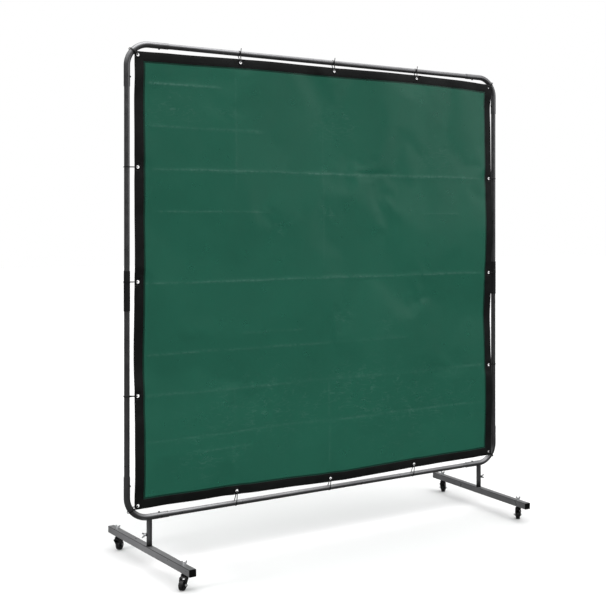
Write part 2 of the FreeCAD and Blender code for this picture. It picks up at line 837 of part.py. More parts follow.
def make_weld_nut(label, side):
    """The hexagonal nut on the post's outer side. Its back is hollowed to the post."""
    body = new_body(label + "_blank")
    profile = new_sketch(body, "profile", "YZ_Plane", "dims.post_bore")
    corner, flat = "dims.weld_nut_corner", "dims.weld_nut_corner * sqrt(3) / 2"
    half = "dims.weld_nut_corner / 2"
    add_outline(
        profile,
        [
            (corner, "0"),
            (half, flat),
            (f"-({half})", flat),
            (f"-({corner})", "0"),
            (f"-({half})", f"-({flat})"),
            (half, f"-({flat})"),
        ],
    )
    pad(body, profile, "dims.weld_nut_face - dims.post_bore")
    bore = new_sketch(body, "bore", "YZ_Plane")
    add_circle(bore, "dims.bolt_radius + dims.bolt_clearance")
    pocket(body, bore, "dims.weld_nut_face", flip=True)
    turned = Rotation(Vector(0, 0, 1), 90 - 90 * side)
    at(body, "0", "0", "dims.bolt_height", turned)
    post = cylinder(label + "_post", "dims.tube_radius", "2 * dims.weld_nut_face")
    at(post, "0", "0", "dims.bolt_height - dims.weld_nut_face")
    return keep(stand(cut(label, body, post), side))


def wing_shape(base, spread, rise):
    """Two rounded ears in the XZ plane, which lean out from a boss that starts at height base."""
    radius, root, thickness = size("wing_round"), size("wing_root"), size("wing_thickness")
    ears = []
    for side in SIDES.values():
        start, tip = Vector(side * root, 0, base + radius), Vector(side * spread, 0, base + rise)
        along = (tip - start).normalize() * radius
        across = Vector(-along.z, 0, along.x)
        edges = [
            Part.LineSegment(start + across, tip + across).toShape(),
            Part.Arc(tip + across, tip + along, tip - across).toShape(),
            Part.LineSegment(tip - across, start - across).toShape(),
            Part.Arc(start - across, start - along, start + across).toShape(),
        ]
        face = Part.Face(Part.Wire(edges)).translated(Vector(0, -thickness / 2, 0))
        ears.append(face.extrude(Vector(0, thickness, 0)))
    return ears


def make_wing_bolt(label, side):
    """The hand bolt that clamps a foot to its spigot. It points away from the frame's middle."""
    radius, tip, collar = size("bolt_radius"), size("bolt_tip"), size("bolt_collar")
    wide = size("bolt_boss")
    shank = Part.makeCylinder(radius, collar - tip, Vector(0, 0, tip))
    boss = Part.makeCone(wide, wide - size("boss_taper"), size("bolt_boss_length"), Vector(0, 0, collar))
    wings = wing_shape(collar, size("bolt_wing_spread"), size("bolt_wing_rise"))
    solid = boss.fuse([shank, *wings]).removeSplitter()
    place = Vector(side * size("foot_offset"), 0, size("bolt_height"))
    pointing = axes(Vector(0, 0, 1), Vector(side, 0, 0))
    shaped(label, solid, Placement(place, foot_turn(side).multiply(pointing)))


def stem_point(side, end, height):
    """A point on a caster's swivel axis."""
    reach = end * (size("beam_half_length") - size("caster_inset"))
    return Vector(side * size("foot_offset"), 0, height) + foot_turn(side).multVec(Vector(0, reach, 0))


def make_wing_nut(label, name, side, end):
    """The hand nut above the beam that holds a caster's stem."""
    wide, tall = size("wing_boss"), size("wing_boss_height")
    boss = Part.makeCone(wide, wide - size("boss_taper"), tall)
    solid = boss.fuse(wing_shape(0, size("nut_wing_spread"), size("nut_wing_rise"))).removeSplitter()
    bore = size("stem_radius") + size("stem_clearance")
    solid = solid.cut(Part.makeCylinder(bore, 2 * size("nut_wing_rise")))
    base = size("beam_height") + size("beam_size") + size("wing_nut_gap")
    turned = Rotation(Vector(0, 0, 1), WING_HEADINGS[name])
    shaped(label, solid, Placement(stem_point(side, end, base), turned))


# --- casters -----------------------------------------------------------------------------------


def at_caster(made, name, side, end):
    """Places a caster's piece, turned to the way that the caster trails."""
    turned = Rotation(Vector(0, 0, 1), CASTER_HEADINGS[name])
    return keep(at(made, *stem_place(side, end), "0", turned))


def make_stem(label, name, side, end):
    """The fixed pin a caster swivels on, with its head, its collar and its threaded end."""
    owner = new_body(label)
    profile = new_sketch(owner, "profile", "XZ_Plane")
    underside = "dims.fork_top - dims.fork_crown"
    add_outline(
        profile,
        [
            ("0", f"{underside} - dims.stem_head_depth"),
            ("dims.stem_head", f"{underside} - dims.stem_head_depth"),
            ("dims.stem_head", f"{underside} - dims.race_gap"),
            ("dims.stem_radius", f"{underside} - dims.race_gap"),
            ("dims.stem_radius", "dims.collar_bottom"),
            ("dims.collar_radius", "dims.collar_bottom"),
            ("dims.collar_radius", "dims.beam_height"),
            ("dims.stem_radius", "dims.beam_height"),
            ("dims.stem_radius", "dims.stem_top"),
            ("0", "dims.stem_top"),
        ],
    )
    revolve(owner, profile)
    return at_caster(owner, name, side, end)


def make_fork(label, name, side, end):
    """A caster's yoke: a crown with two tapered cheeks, and the race above it."""
    owner = new_body(label)
    cheek = new_sketch(owner, "cheek", "XZ_Plane")
    toe, axle = "dims.fork_toe", "dims.wheel_radius"
    waist = "dims.fork_top - dims.fork_crown - dims.fork_waist"
    add_outline(
        cheek,
        [
            ("-(dims.fork_reach)", "dims.fork_top"),
            ("-(dims.fork_reach)", waist),
            (f"dims.trail - {toe}", f"{axle} - dims.fork_waist"),
            (f"dims.trail - {toe} / 2", f"{axle} - {toe}"),
            (f"dims.trail + {toe} / 2", f"{axle} - {toe}"),
            (f"dims.trail + {toe}", f"{axle} - dims.fork_waist"),
            ("dims.fork_reach + dims.fork_flare", waist),
            ("dims.fork_reach", "dims.fork_top"),
        ],
    )
    blank = pad(owner, cheek, "2 * dims.fork_outside", symmetric=True)
    crown = Vector(0, size("fork_outside"), size("fork_top"))
    fillet(
        owner,
        blank,
        "dims.fork_shoulder",
        lambda e: abs(e.CenterOfMass.z - crown.z) < 1e-6 and abs(abs(e.CenterOfMass.y) - crown.y) < 1e-6,
    )
    room = new_sketch(owner, "room", "XZ_Plane")
    reach = "2 * dims.fork_reach + dims.fork_flare"
    add_outline(
        room,
        [
            (f"-({reach})", "-(dims.wheel_radius)"),
            (reach, "-(dims.wheel_radius)"),
            (reach, "dims.fork_top - dims.fork_crown"),
            (f"-({reach})", "dims.fork_top - dims.fork_crown"),
        ],
    )
    pocket(owner, room, "2 * dims.fork_inside", symmetric=True)
    hole = new_sketch(owner, "axle_hole", "XZ_Plane")
    add_circle(hole, "dims.axle_radius + dims.axle_clearance", "dims.trail", axle)
    pocket(owner, hole, "4 * dims.fork_outside", symmetric=True)
    race = new_sketch(owner, "race", "XY_Plane", "dims.fork_top")
    add_circle(race, "dims.dish_radius")
    pad(owner, race, "dims.dish_top - dims.fork_top")
    pin = new_sketch(owner, "pin", "XY_Plane")
    add_circle(pin, "dims.stem_radius + dims.stem_clearance")
    pocket(owner, pin, "2 * dims.dish_top", flip=True)
    return at_caster(owner, name, side, end)


def make_wheel(label, name, side, end):
    """A moulded wheel, recessed between its hub and its rim."""
    owner = new_body(label)
    profile = new_sketch(owner, "profile", "XY_Plane")
    half, recess = "dims.wheel_half_width", "dims.wheel_half_width - dims.wheel_recess"
    right_side = [
        ("dims.wheel_bore", half),
        ("dims.wheel_hub", half),
        ("dims.wheel_hub + dims.recess_slope", recess),
        ("dims.wheel_rim - dims.recess_slope", recess),
        ("dims.wheel_rim", half),
        ("dims.wheel_radius", half),
    ]
    left_side = [(radius, f"-({width})") for radius, width in reversed(right_side)]
    add_outline(profile, right_side + left_side)
    turned = revolve(owner, profile)
    fillet(owner, turned, "dims.tread_round", lambda e: is_ring(e, size("wheel_radius")))
    return place_on_axle(owner, name, side, end)


def place_on_axle(made, name, side, end):
    """Moves a piece made about the origin to the wheel's centre."""
    heading = CASTER_HEADINGS[name]
    turned = Rotation(Vector(0, 0, 1), heading)
    right, back = stem_place(side, end)
    right = f"{right} + dims.trail * cos({heading} deg)"
    back = f"{back} + dims.trail * sin({heading} deg)"
    return keep(at(made, right, back, "dims.wheel_radius", turned))


def hexagon_solid(radius, start, length):
    """A hexagonal prism along +Y."""
    points = [
        Vector(radius * math.cos(k * math.pi / 3), start, radius * math.sin(k * math.pi / 3))
        for k in range(7)
    ]
    return Part.Face(Part.makePolygon(points)).extrude(Vector(0, length, 0))


def make_axle(label, name, side, end):
    """The axle bolt with its hexagonal head, and the lock nut on its other end."""
    cheek, head = size("fork_outside"), size("axle_head")
    head_length, nut_length = size("axle_head_length"), size("axle_nut_length")
    shank_length = 2 * cheek + nut_length + size("axle_end")
    shank = Part.makeCylinder(size("axle_radius"), shank_length, Vector(0, -cheek, 0), Vector(0, 1, 0))
    bolt = hexagon_solid(head, -cheek - head_length, head_length).fuse(shank)
    nut = hexagon_solid(head, cheek, nut_length)
    solid = bolt.fuse(nut).removeSplitter()
    turned = Rotation(Vector(0, 0, 1), CASTER_HEADINGS[name])
    stem = stem_point(side, end, size("wheel_radius"))
    shaped(label, solid, Placement(stem + turned.multVec(Vector(size("trail"), 0, 0)), turned))


def make_feet():
    make_spigots()
    for side_name, side in SIDES.items():
        make_post(f"foot_post_{side_name}", side)
        make_beam(f"foot_beam_{side_name}", side)
        make_end_caps(f"foot_caps_{side_name}", side)
        make_weld_nut(f"weld_nut_{side_name}", side)
        make_wing_bolt(f"wing_bolt_{side_name}", side)
        for end_name, end in ENDS.items():
            name = f"{end_name}_{side_name}"
            make_wing_nut(f"wing_nut_{name}", name, side, end)
            make_stem(f"caster_stem_{name}", name, side, end)
            make_fork(f"caster_fork_{name}", name, side, end)
            make_wheel(f"caster_wheel_{name}", name, side, end)
            make_axle(f"caster_axle_{name}", name, side, end)


def check_document():
    """Stops if any object failed to build or any sub-part has no sound shape."""
    for made in DOC.Objects:
        if "Invalid" in made.State or "Error" in made.State:
            raise RuntimeError(f"{made.Name} failed: {made.State}")
    for made in NODES:
        if made.Shape.isNull() or not made.Shape.isValid() or made.Shape.Volume <= 0:
            raise RuntimeError(f"{made.Label} has no sound shape")


def write_steps():
    os.makedirs("parts", exist_ok=True)
    for made in NODES:
        made.Shape.exportStep(f"parts/{made.Label}.step")
        box = made.Shape.BoundBox
        print(
            f"{made.Label:32s} solids {len(made.Shape.Solids):2d} volume {made.Shape.Volume:12.1f} "
            f"x {box.XMin:8.1f} {box.XMax:8.1f} y {box.YMin:7.1f} {box.YMax:7.1f} "
            f"z {box.ZMin:7.1f} {box.ZMax:7.1f}"
        )
    print(len(NODES), "nodes")


make_tube_frame()
make_rail_joiners()
make_buttons()
make_spring_clips()
make_curtain()
make_grommets()
make_cable_ties()
make_feet()
DOC.recompute()
check_document()
write_steps()
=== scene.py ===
"""Looks of the welding curtain screen: the camera, the studio, the curtain and every finish.

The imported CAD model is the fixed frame. All sizes are in metres.
"""

import math

import bmesh
import bpy
import numpy as np
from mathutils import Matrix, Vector


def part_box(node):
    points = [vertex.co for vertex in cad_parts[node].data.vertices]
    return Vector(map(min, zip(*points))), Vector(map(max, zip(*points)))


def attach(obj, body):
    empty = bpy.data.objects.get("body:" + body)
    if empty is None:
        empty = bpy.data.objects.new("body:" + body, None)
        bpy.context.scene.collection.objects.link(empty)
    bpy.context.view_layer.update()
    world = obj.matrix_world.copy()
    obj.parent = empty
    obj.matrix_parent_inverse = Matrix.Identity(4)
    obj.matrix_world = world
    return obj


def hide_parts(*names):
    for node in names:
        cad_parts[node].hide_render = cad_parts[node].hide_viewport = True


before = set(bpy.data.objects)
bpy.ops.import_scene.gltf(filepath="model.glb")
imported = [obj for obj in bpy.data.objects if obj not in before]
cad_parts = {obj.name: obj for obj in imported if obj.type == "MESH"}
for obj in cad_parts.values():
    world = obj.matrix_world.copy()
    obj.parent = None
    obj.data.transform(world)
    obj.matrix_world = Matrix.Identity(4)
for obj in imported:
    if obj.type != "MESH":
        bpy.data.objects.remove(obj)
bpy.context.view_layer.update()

# camera: level, turned to the right, with a lens shift
CAMERA_PLACE = (-2.511, -4.178, 1.387)
CAMERA_HEADING = 35.547
FOCAL_LENGTH = 64.59
SENSOR_WIDTH = 36
LENS_SHIFT = (-0.1881, -0.1315)

# how bright the surroundings are as light
HORIZON_LIGHT = 0.08
ZENITH_LIGHT = 1.15

# curtain, in its flat state: s runs right from the middle, t runs up from the middle
FLAT_HALF = 0.9145
GROMMET_PITCH = 0.450
GROMMET_COLUMNS = (-2, -1, 0, 1, 2)
CLOTH_CELLS = 98
CLOTH_SLACK = 0.0011
CLOTH_FRAMES = 36
VINYL_HALF_THICKNESS = 0.0004
HEM_HALF_THICKNESS = 0.0012
HEM_FRONT = 0.038
HEM_BACK = 0.045
PANEL_INSET = 0.022
HOLE_RADIUS = 0.0095
GROMMET_HOLD = 0.014
GROMMET_EASE = 0.060
CORNER_EASE = 0.110
LINE_STEP = 0.0094
DENTS_PER_METRE = 70

# hem: the rounded fold at its edge, and its two seams
HEM_FOLD_RADIUS = 0.0018
SEAM_INSET = 0.004
SEAM_WIDTH = 0.0012
SEAM_DEPTH = 0.00035

# grommets: the hole, the flange and the roll between them
GROMMET_BORE = 0.0065
GROMMET_FLANGE = 0.01225
BARREL_ROLL = 0.0011
GROMMET_SEGMENTS = 48

WELD_SIZE = 0.0016

# packing folds: height, where it starts and ends, depth
LEVEL_FOLDS = (
    (1.950, -0.880, -0.520, 0.0019),
    (1.777, -0.880, -0.330, 0.0010),
    (1.606, -0.860, 0.860, 0.0017),
    (1.434, -0.850, -0.300, 0.0009),
    (1.432, 0.480, 0.720, 0.0007),
    (1.145, -0.890, 0.880, 0.0016),
    (0.922, -0.470, -0.130, 0.0008),
    (0.857, -0.890, 0.420, 0.0009),
    (0.692, -0.890, 0.880, 0.0010),
    (0.512, -0.890, 0.880, -0.0008),
    (0.447, -0.660, -0.380, 0.0008),
)
# the same for upright folds: distance right, where it starts and ends, depth
UPRIGHT_FOLDS = (
    (-0.476, 1.500, 2.020, 0.0005),
    (-0.476, 0.300, 0.720, 0.0005),
    (-0.045, 1.180, 1.820, 0.0004),
    (-0.015, 0.300, 0.700, 0.0006),
)
FOLD_WIDTH = 0.007
FOLD_WANDER = 0.0022
CREASE_WIDTH = 0.003
PALEST_CREASE = 0.0019
# where the panel has lines on each side of a fold
FOLD_LINES = (-0.011, -0.007, -0.0035, 0, 0.0035, 0.007, 0.011)

# patches where the film was bunched up: right of the middle, above the floor, how wide
BUNCHED = (
    (-0.76, 1.86, 0.12), (-0.50, 1.86, 0.05), (0.03, 1.83, 0.13), (-0.25, 1.37, 0.06),
    (-0.35, 0.60, 0.26), (0.15, 0.62, 0.20), (0.45, 0.55, 0.30), (-0.60, 0.42, 0.14),
    (0.60, 1.72, 0.12), (0.05, 0.97, 0.06), (0.30, 0.93, 0.06), (-0.02, 1.42, 0.05),
)

ZINC_DULL = (0.56, 0.57, 0.58)
ZINC_BRIGHT = (0.78, 0.79, 0.80)


# ---------------------------------------------------------------- camera, floor and light

def make_camera():
    data = bpy.data.cameras.new("camera")
    data.lens = FOCAL_LENGTH
    data.sensor_width = SENSOR_WIDTH
    data.shift_x, data.shift_y = LENS_SHIFT
    data.clip_end = 200
    camera = bpy.data.objects.new("camera", data)
    camera.location = CAMERA_PLACE
    camera.rotation_euler = (math.radians(90), 0, -math.radians(CAMERA_HEADING))
    bpy.context.collection.objects.link(camera)
    bpy.context.scene.camera = camera


def make_lamp(name, kind, place, target, energy, **sizes):
    """A lamp at place that looks at target."""
    data = bpy.data.lights.new(name, kind)
    data.energy = energy
    for key, value in sizes.items():
        setattr(data, key, value)
    lamp = bpy.data.objects.new(name, data)
    lamp.location = place
    lamp.rotation_euler = (Vector(target) - Vector(place)).to_track_quat("-Z", "Y").to_euler()
    bpy.context.collection.objects.link(lamp)
    return lamp


def set_range(node, low, high, new_low, new_high):
    """Sets a Map Range node to carry low..high over to new_low..new_high."""
    sockets = ("From Min", "From Max", "To Min", "To Max")
    for socket, number in zip(sockets, (low, high, new_low, new_high)):
        node.inputs[socket].default_value = number


def make_world():
    """White where it is seen, also through the vinyl. As light, bright overhead and dim at the horizon."""
    world = bpy.data.worlds.new("studio")
    world.use_nodes = True
    nodes, links = world.node_tree.nodes, world.node_tree.links
    height = nodes.new("ShaderNodeSeparateXYZ")
    light = nodes.new("ShaderNodeMapRange")
    light.interpolation_type = "SMOOTHSTEP"
    set_range(light, 0.05, 0.95, HORIZON_LIGHT, ZENITH_LIGHT)
    rays = nodes.new("ShaderNodeLightPath")
    seen = nodes.new("ShaderNodeMath")
    strength = nodes.new("ShaderNodeMath")
    seen.operation = strength.operation = "MAXIMUM"
    links.new(nodes.new("ShaderNodeTexCoord").outputs["Generated"], height.inputs[0])
    links.new(height.outputs["Z"], light.inputs["Value"])
    links.new(rays.outputs["Is Camera Ray"], seen.inputs[0])
    links.new(rays.outputs["Is Transmission Ray"], seen.inputs[1])
    links.new(seen.outputs[0], strength.inputs[0])
    links.new(light.outputs["Result"], strength.inputs[1])
    nodes["Background"].inputs["Color"].default_value = (1, 1, 1, 1)
    links.new(strength.outputs[0], nodes["Background"].inputs["Strength"])
    bpy.context.scene.world = world


def make_lamps():
    make_lamp("overhead", "SUN", (0.3, -0.9, 6), (0, 0, 0), 1.5, angle=math.radians(60))
    make_lamp("right_softbox", "AREA", (4.4, -3.8, 3.0), (0.6, 0, 1.5), 24, size=3.2)
    low_lamp = make_lamp("foot_softbox", "AREA", (-3.0, 0.05, 0.45), (-0.85, 0, 0.07), 3.2, size=0.8,
                         spread=math.radians(40))
    low_lamp.visible_glossy = False


def make_floor():
    """A pale floor that is seen, but neither lights the object nor is mirrored in it."""
    mesh = bpy.data.meshes.new("floor")
    shape = bmesh.new()
    bmesh.ops.create_grid(shape, x_segments=8, y_segments=8, size=30)
    shape.to_mesh(mesh)
    shape.free()
    floor = bpy.data.objects.new("floor", mesh)
    bpy.context.collection.objects.link(floor)
    mesh.materials.append(floor_finish())
    floor.visible_diffuse = False
    floor.visible_glossy = False
    floor.visible_transmission = False


# ---------------------------------------------------------------- finishes

class Finish:
    """A procedural material, and short ways to add nodes to it."""

    def __init__(self, name, colour, **sockets):
        self.material = bpy.data.materials.new(name)
        self.material.use_nodes = True
        self.nodes = self.material.node_tree.nodes
        self.links = self.material.node_tree.links
        self.shader = self.nodes["Principled BSDF"]
        self.shader.inputs["Base Color"].default_value = (*colour, 1)
        for socket, value in sockets.items():
            self.shader.inputs[socket.replace("_", " ")].default_value = value
        self.place = self.nodes.new("ShaderNodeTexCoord").outputs["Object"]
        self.height = None

    def scaled(self, scale):
        """The object's coordinates, stretched by three factors."""
        mapping = self.nodes.new("ShaderNodeMapping")
        mapping.inputs["Scale"].default_value = scale
        self.links.new(self.place, mapping.inputs["Vector"])
        return mapping.outputs["Vector"]

    def noise(self, size, detail=3, stretch=(1, 1, 1)):
        """Noise whose grain is about size metres."""
        node = self.nodes.new("ShaderNodeTexNoise")
        node.inputs["Scale"].default_value = 1
        node.inputs["Detail"].default_value = detail
        self.links.new(self.scaled([k / size for k in stretch]), node.inputs["Vector"])
        return node.outputs["Fac"]

    def cells(self, size):
        """The distance from the nearest of many scattered points, about size metres apart."""
        node = self.nodes.new("ShaderNodeTexVoronoi")
        node.inputs["Scale"].default_value = 1
        self.links.new(self.scaled([1 / size] * 3), node.inputs["Vector"])
        return node.outputs["Distance"]

    def waves(self, size, axis, profile="SIN"):
        """Straight waves, size metres apart along an axis."""
        node = self.nodes.new("ShaderNodeTexWave")
        node.bands_direction = axis
        node.wave_profile = profile
        node.inputs["Scale"].default_value = 2 * math.pi / 20
        self.links.new(self.scaled([1 / size] * 3), node.inputs["Vector"])
        return node.outputs["Fac"]

    def range(self, value, low, high, new_low=0.0, new_high=1.0):
        """A value carried over from low..high to new_low..new_high, and held at the ends."""
        node = self.nodes.new("ShaderNodeMapRange")
        set_range(node, low, high, new_low, new_high)
        self.links.new(value, node.inputs["Value"])
        return node.outputs["Result"]

    def math(self, operation, first, second=0):
        node = self.nodes.new("ShaderNodeMath")
        node.operation = operation
        for socket, value in zip(node.inputs, (first, second)):
            if isinstance(value, (int, float)):
                socket.default_value = value
            else:
                self.links.new(value, socket)
        return node.outputs[0]

    def mix(self, factor, first, second):
        """Two colours, mixed by a factor from the texture."""
        node = self.nodes.new("ShaderNodeMix")
        node.data_type = "RGBA"
        self.links.new(factor, node.inputs["Factor"])
        for socket, value in (("A", first), ("B", second)):
            target = [i for i in node.inputs if i.name == socket and i.type == "RGBA"][0]
            if isinstance(value, tuple):
                target.default_value = (*value, 1)
            else:
                self.links.new(value, target)
        return [o for o in node.outputs if o.type == "RGBA"][0]

    def height_of_point(self):
        """How far above the floor a point is, in the rest pose."""
        node = self.nodes.new("ShaderNodeSeparateXYZ")
        self.links.new(self.place, node.inputs[0])
        return node.outputs["Z"]

    def attribute(self, name):
        """A value kept on the mesh's own points."""
        node = self.nodes.new("ShaderNodeAttribute")
        node.attribute_name = name
        return node.outputs["Fac"]

    def paint(self, colour):
        self.links.new(colour, self.shader.inputs["Base Color"])
        return self

    def rough(self, value, low, high):
        """Roughness between two values, from a texture between 0.3 and 0.7."""
        self.links.new(self.range(value, 0.3, 0.7, low, high), self.shader.inputs["Roughness"])
        return self

    def bump(self, height, distance, soften=None):
        """Adds relief of that many metres, on edges softened by a small radius."""
        node = self.nodes.new("ShaderNodeBump")
        node.inputs["Distance"].default_value = distance
        self.links.new(height, node.inputs["Height"])
        if self.height is not None:
            self.links.new(self.height, node.inputs["Normal"])
        elif soften:
            edge = self.nodes.new("ShaderNodeBevel")
            edge.samples = 4
            edge.inputs["Radius"].default_value = soften
            self.links.new(edge.outputs["Normal"], node.inputs["Normal"])
        self.height = node.outputs["Normal"]
        self.links.new(self.height, self.shader.inputs["Normal"])
        return self

    def rounded_corners(self):
        """A mask that is high where a box-shaped piece turns from one flat side to the next."""
        parts = self.nodes.new("ShaderNodeSeparateXYZ")
        coordinates = self.nodes.new("ShaderNodeTexCoord")
        self.links.new(coordinates.outputs["Normal"], parts.inputs[0])
        sizes = [self.math("ABSOLUTE", parts.outputs[k]) for k in "XYZ"]
        flattest = self.math("MAXIMUM", self.math("MAXIMUM", sizes[0], sizes[1]), sizes[2])
        return self.range(flattest, 0.99, 0.94)

    def edges(self, radius):
        """A mask that is high along the edges of a hard piece, for wear."""
        edge = self.nodes.new("ShaderNodeBevel")
        edge.samples = 4
        edge.inputs["Radius"].default_value = radius
        geometry = self.nodes.new("ShaderNodeNewGeometry")
        dot = self.nodes.new("ShaderNodeVectorMath")
        dot.operation = "DOT_PRODUCT"
        self.links.new(edge.outputs["Normal"], dot.inputs[0])
        self.links.new(geometry.outputs["Normal"], dot.inputs[1])
        return self.range(dot.outputs["Value"], 0.985, 0.90)


def shade(colour, factor):
    """A colour made darker or lighter."""
    return tuple(min(1.0, c * factor) for c in colour)


def floor_finish():
    finish = Finish("floor_finish", (0.93, 0.93, 0.93), Roughness=0.75)
    return finish.paint(finish.mix(finish.noise(1.5), (0.92, 0.92, 0.92), (0.95, 0.95, 0.95))).material


def grey_paint(name, grey, metallic):
    """Dark grey metallic powder coat with fine orange peel and glints: the finish and its colour."""
    finish = Finish(name, grey, Metallic=metallic, Roughness=0.32)
    clouds = finish.range(finish.noise(0.12, 4), 0.35, 0.65)
    cloudy = finish.mix(clouds, shade(grey, 0.88), shade(grey, 1.1))
    colour = finish.mix(finish.range(finish.cells(0.0007), 0.2, 0.0), cloudy, shade(grey, 1.6))
    finish.paint(colour)
    finish.rough(finish.noise(0.03, 4), 0.27, 0.37)
    finish.bump(finish.noise(0.0016, 2), 0.00005)
    return finish, colour


def frame_paint():
    """The coat on the round tubes of the frame."""
    return grey_paint("frame_paint", (0.27, 0.27, 0.277), 0.95)[0].material


def beam_paint():
    """The same coat on square tube, as a lit copy: less metallic than on the round tubes, so its sides
    show lighter; with a painted dark reflection along its rounded corners.
    """
    finish, colour = grey_paint("beam_paint", (0.24, 0.24, 0.246), 0.4)
    # painted dark reflection: near black along the rounded corners, between the flat sides
    finish.paint(finish.mix(finish.rounded_corners(), colour, (0.05, 0.05, 0.052)))
    return finish.material


def post_paint():
    """The same coat on the foot posts, as a shaded copy in a darker grey, with painted shade just above
    the weld.
    """
    # painted shade: a darker grey than the same coat on the tubes and beams
    finish, colour = grey_paint("post_paint", (0.17, 0.17, 0.175), 0.7)
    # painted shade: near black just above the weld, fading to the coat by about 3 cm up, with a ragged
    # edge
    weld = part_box("foot_post_left")[0].z
    ragged = finish.range(finish.noise(0.012), 0.3, 0.7, -0.006, 0.006)
    uneven = finish.math("ADD", finish.height_of_point(), ragged)
    above = finish.range(uneven, weld + 0.006, weld + 0.030)
    finish.paint(finish.mix(above, (0.012, 0.012, 0.012), colour))
    return finish.material


def sleeve_black():
    """Matt black plastic with a fine moulded grain."""
    finish = Finish("sleeve_black", (0.012, 0.012, 0.013), Roughness=0.5)
    finish.paint(finish.mix(finish.noise(0.02, 4), (0.009, 0.009, 0.010), (0.018, 0.018, 0.019)))
    finish.rough(finish.noise(0.004, 3), 0.42, 0.6)
    finish.bump(finish.cells(0.0011), 0.0001, soften=0.0006)
    return finish.material


def vinyl():
    """Tinted see-through green film: soft gloss, faint haze, and creases and streaks painted paler, partly
    as painted highlight where the folded film catches light and partly as the film's own whitening at its
    folds.
    """
    green = (0.0285, 0.180, 0.118)
    # paler green of creases and streaks: partly painted highlight, partly the film's own whitening
    pale = (0.150, 0.340, 0.275)
    finish = Finish("vinyl", green, Roughness=0.32, IOR=1.42, Transmission_Weight=0.6,
                    Specular_IOR_Level=0.4)
    haze = finish.noise(0.35, 4, stretch=(1, 1, 0.7))
    tone = finish.mix(finish.range(haze, 0.3, 0.7), shade(green, 0.95), shade(green, 1.06))
    rise = finish.math("SUBTRACT", finish.noise(0.055, 2, stretch=(1, 1, 3)), 0.5)
    contours = finish.range(finish.math("ABSOLUTE", rise), 0.035, 0.0)
    broken = finish.range(finish.noise(0.04, 2), 0.4, 0.65)
    streaks = finish.math("MULTIPLY", contours, broken)
    marks = finish.math("MULTIPLY", finish.math("MULTIPLY", streaks, finish.attribute("crinkle")), 0.4)
    frayed = finish.range(finish.noise(0.012, 3), 0.3, 0.6)
    creases = finish.math("MULTIPLY", finish.attribute("crease"), frayed)
    # painted highlight, partly: creases and streaks go paler where the folded film catches light, and
    # partly for the film's whitening at its folds
    crease_highlight_and_whitening = finish.math("MINIMUM", finish.math("ADD", marks, creases), 1)
    finish.paint(finish.mix(crease_highlight_and_whitening, tone, pale))
    finish.rough(finish.noise(0.05, 5), 0.27, 0.36)
    finish.bump(marks, 0.00012)
    finish.bump(finish.noise(0.03, 4), 0.0001)
    return finish.material


def hem():
    """Black coated cloth tape: fine plain weave under a soft coating."""
    black = (0.0082, 0.0095, 0.0092)
    finish = Finish("hem", black, Roughness=0.5, Specular_IOR_Level=0.3)
    clouds = finish.range(finish.noise(0.05, 5), 0.35, 0.65)
    finish.paint(finish.mix(clouds, shade(black, 0.8), shade(black, 1.3)))
    warp = finish.waves(0.0011, "X")
    weft = finish.waves(0.0011, "Z")
    finish.rough(finish.noise(0.01, 4), 0.42, 0.58)
    finish.bump(finish.math("MULTIPLY", warp, weft), 0.0001)
    finish.bump(finish.noise(0.012, 3), 0.0002)
    return finish.material


def grommet_black():
    """Blackened metal, rubbed a little on its rolled rim."""
    finish = Finish("grommet_black", (0.03, 0.03, 0.032), Metallic=0.8, Roughness=0.38)
    rubbed = finish.range(finish.noise(0.004, 4), 0.5, 0.75)
    finish.paint(finish.mix(rubbed, (0.022, 0.022, 0.024), (0.07, 0.07, 0.072)))
    finish.rough(finish.noise(0.003, 3), 0.3, 0.5)
    finish.bump(finish.noise(0.0015, 3), 0.00004)
    return finish.material


def tie_nylon():
    """Black nylon with a satin skin and fine teeth."""
    finish = Finish("tie_nylon", (0.012, 0.012, 0.012), Roughness=0.42)
    finish.paint(finish.mix(finish.noise(0.006, 3), (0.009, 0.009, 0.009), (0.02, 0.02, 0.02)))
    finish.rough(finish.noise(0.004, 3), 0.35, 0.5)
    finish.bump(finish.waves(0.0014, "DIAGONAL", "SAW"), 0.00012, soften=0.0003)
    return finish.material


def bright_zinc():
    """Zinc plate: bright, with soft blotches and fine scratches."""
    finish = Finish("bright_zinc", (0.66, 0.67, 0.68), Metallic=0.55, Roughness=0.3)
    finish.paint(finish.mix(finish.noise(0.005, 4), ZINC_DULL, ZINC_BRIGHT))
    finish.rough(finish.noise(0.002, 5, stretch=(1, 1, 0.2)), 0.2, 0.42)
    finish.bump(finish.noise(0.0012, 4, stretch=(1, 1, 0.3)), 0.00005, soften=0.0005)
    return finish.material


def caster_stem():
    """A zinc-plated stem whose collar, under the beam, is black."""
    finish = Finish("caster_stem", (0.66, 0.67, 0.68), Metallic=0.55, Roughness=0.3)
    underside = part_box("foot_beam_left")[0].z
    above = finish.range(finish.height_of_point(), underside, underside + 0.0004)
    plated = finish.mix(finish.noise(0.005, 4), ZINC_DULL, ZINC_BRIGHT)
    finish.paint(finish.mix(above, (0.02, 0.02, 0.021), plated))
    finish.rough(finish.noise(0.002, 5), 0.22, 0.4)
    finish.bump(finish.noise(0.0012, 4), 0.00005, soften=0.0005)
    return finish.material


def spring_steel():
    """Blued and slightly straw-coloured spring wire, and the joiner tubes."""
    finish = Finish("spring_steel", (0.34, 0.34, 0.35), Metallic=1.0, Roughness=0.34)
    finish.paint(finish.mix(finish.noise(0.006, 4), (0.26, 0.26, 0.28), (0.42, 0.41, 0.40)))
    finish.bump(finish.noise(0.001, 3, stretch=(1, 0.2, 1)), 0.00003, soften=0.0003)
    return finish.material


